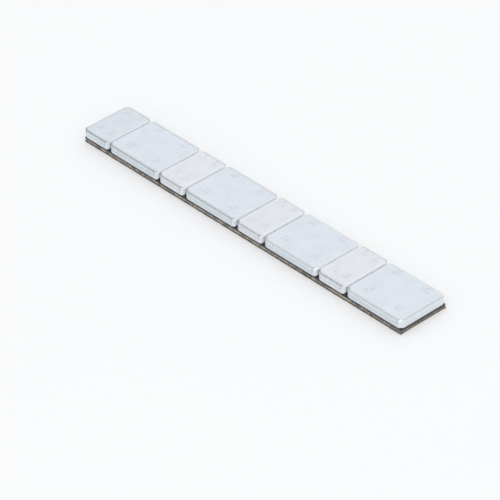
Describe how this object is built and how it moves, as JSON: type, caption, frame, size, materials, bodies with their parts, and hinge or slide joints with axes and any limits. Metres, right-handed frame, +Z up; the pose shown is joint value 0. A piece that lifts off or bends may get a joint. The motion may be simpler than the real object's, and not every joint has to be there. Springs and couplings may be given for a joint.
{
  "type": "wheel balance weight",
  "caption": "Stick-on balance weight strip for a car wheel: small and large plated steel weights in turn on one foam tape with a paper release liner.",
  "frame": {"origin": "middle of the strip's underside, on the surface that the release liner lies on", "axes": "+X along the strip, from the end with a small weight to the end with a large weight; +Y across it; +Z up, out of the steel faces"},
  "size_m": [0.1418, 0.018, 0.0047],
  "materials": {
    "zinc_plated_steel": "bright zinc plating, satin, with fine rolling grain and softly burnished edges",
    "charcoal_foam": "matt closed-cell foam",
    "liner_paper": "tan release paper with a faint sheen"
  },
  "bodies": {
    "root": {"weight_5g_1": "zinc_plated_steel", "weight_5g_2": "zinc_plated_steel", "weight_5g_3": "zinc_plated_steel", "weight_5g_4": "zinc_plated_steel", "weight_10g_1": "zinc_plated_steel", "weight_10g_2": "zinc_plated_steel", "weight_10g_3": "zinc_plated_steel", "weight_10g_4": "zinc_plated_steel", "foam_tape": "charcoal_foam", "release_liner": "liner_paper"}
  },
  "joints": []
}
